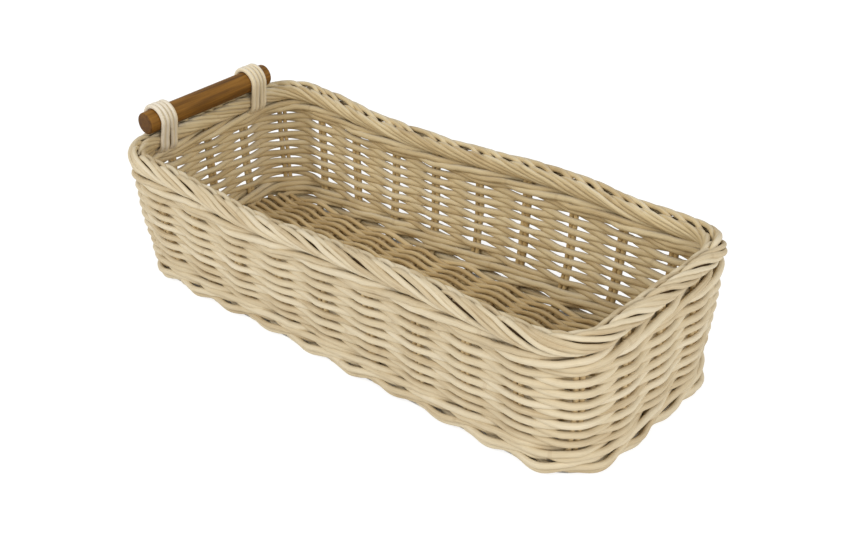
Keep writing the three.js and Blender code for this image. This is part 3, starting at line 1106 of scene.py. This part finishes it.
def open_floor(tree):
    """One on the floor round the basket, and nothing under it."""
    place = add_node(tree, "ShaderNodeTexCoord").outputs["Object"]
    sides = add_node(tree, "ShaderNodeSeparateXYZ", {0: place}).outputs
    past_x = past_straight(tree, sides["X"], foot_plan["half_length"] - FOOT_CORNER)
    past_y = past_straight(tree, sides["Y"], foot_plan["half_width"] - FOOT_CORNER)
    away = plus(tree, times(tree, past_x, past_x), times(tree, past_y, past_y))
    return calc(tree, "GREATER_THAN", calc(tree, "SQRT", away), FOOT_CORNER)


def mixed_shader(tree, share, first, second):
    inputs = {0: share, 1: first.outputs[0], 2: second.outputs[0]}
    return add_node(tree, "ShaderNodeMixShader", inputs).outputs[0]


def add_floor():
    mesh = bpy.data.meshes.new("floor")
    corners = [(x * FLOOR_HALF, y * FLOOR_HALF, 0.0) for x, y in ((-1, -1), (1, -1), (1, 1), (-1, 1))]
    mesh.from_pydata(corners, [], [(0, 1, 2, 3)])
    material, tree = new_material("pale_floor")
    plain = add_node(tree, "ShaderNodeBsdfDiffuse", {"Color": FLOOR_COLOR})
    shade = add_node(tree, "ShaderNodeBsdfDiffuse", {"Color": SEEN_SHADE})
    white = add_node(tree, "ShaderNodeEmission", {"Color": SEEN_WHITE})
    bright = add_node(tree, "ShaderNodeAddShader", {0: shade.outputs[0], 1: white.outputs[0]})
    seen = times(tree, seen_rays(tree), open_floor(tree))
    add_node(tree, "ShaderNodeOutputMaterial", {"Surface": mixed_shader(tree, seen, plain, bright)})
    mesh.materials.append(material)
    floor = bpy.data.objects.new("floor", mesh)
    bpy.context.scene.collection.objects.link(floor)


def add_light(name, place, power):
    lamp = bpy.data.lights.new(name, "AREA")
    lamp.shape = "DISK"
    lamp.size = LIGHT_SIZE
    lamp.energy = power
    holder = bpy.data.objects.new(name, lamp)
    holder.location = place
    holder.rotation_euler = (LIGHT_AIM - place).to_track_quat("-Z", "Y").to_euler()
    bpy.context.scene.collection.objects.link(holder)


def add_world():
    world = bpy.data.worlds.new("studio")
    world.use_nodes = True
    tree = world.node_tree
    tree.nodes.clear()
    soft = add_node(tree, "ShaderNodeBackground", {"Color": WHITE, "Strength": WORLD_STRENGTH})
    white = add_node(tree, "ShaderNodeBackground", {"Color": WHITE, "Strength": 1.0})
    add_node(tree, "ShaderNodeOutputWorld", {"Surface": mixed_shader(tree, seen_rays(tree), soft, white)})
    bpy.context.scene.world = world


def add_camera():
    back = Vector((
        math.sin(VIEW_AZIMUTH) * math.cos(VIEW_ELEVATION),
        -math.cos(VIEW_AZIMUTH) * math.cos(VIEW_ELEVATION),
        math.sin(VIEW_ELEVATION),
    ))
    level_right = Vector((math.cos(VIEW_AZIMUTH), math.sin(VIEW_AZIMUTH), 0.0))
    level_up = back.cross(level_right)
    right = level_right * math.cos(VIEW_ROLL) + level_up * math.sin(VIEW_ROLL)
    up = level_up * math.cos(VIEW_ROLL) - level_right * math.sin(VIEW_ROLL)
    camera = bpy.data.cameras.new("camera")
    camera.sensor_width = SENSOR_WIDTH
    camera.lens = FOCAL_PIXELS / PHOTO_WIDTH * SENSOR_WIDTH
    camera.shift_x = SHIFT_PIXELS[0] / PHOTO_WIDTH
    camera.shift_y = SHIFT_PIXELS[1] / PHOTO_WIDTH
    camera.clip_start = CLIP_START
    holder = bpy.data.objects.new("camera", camera)
    turn = Matrix((right, up, back)).transposed().to_4x4()
    holder.matrix_world = Matrix.Translation(VIEW_TARGET + back * VIEW_DISTANCE) @ turn
    bpy.context.scene.collection.objects.link(holder)
    bpy.context.scene.camera = holder


add_floor()
add_light("key", KEY_PLACE, KEY_POWER)
add_light("fill", FILL_PLACE, FILL_POWER)
add_world()
add_camera()
bpy.context.scene.view_settings.view_transform = "Standard"
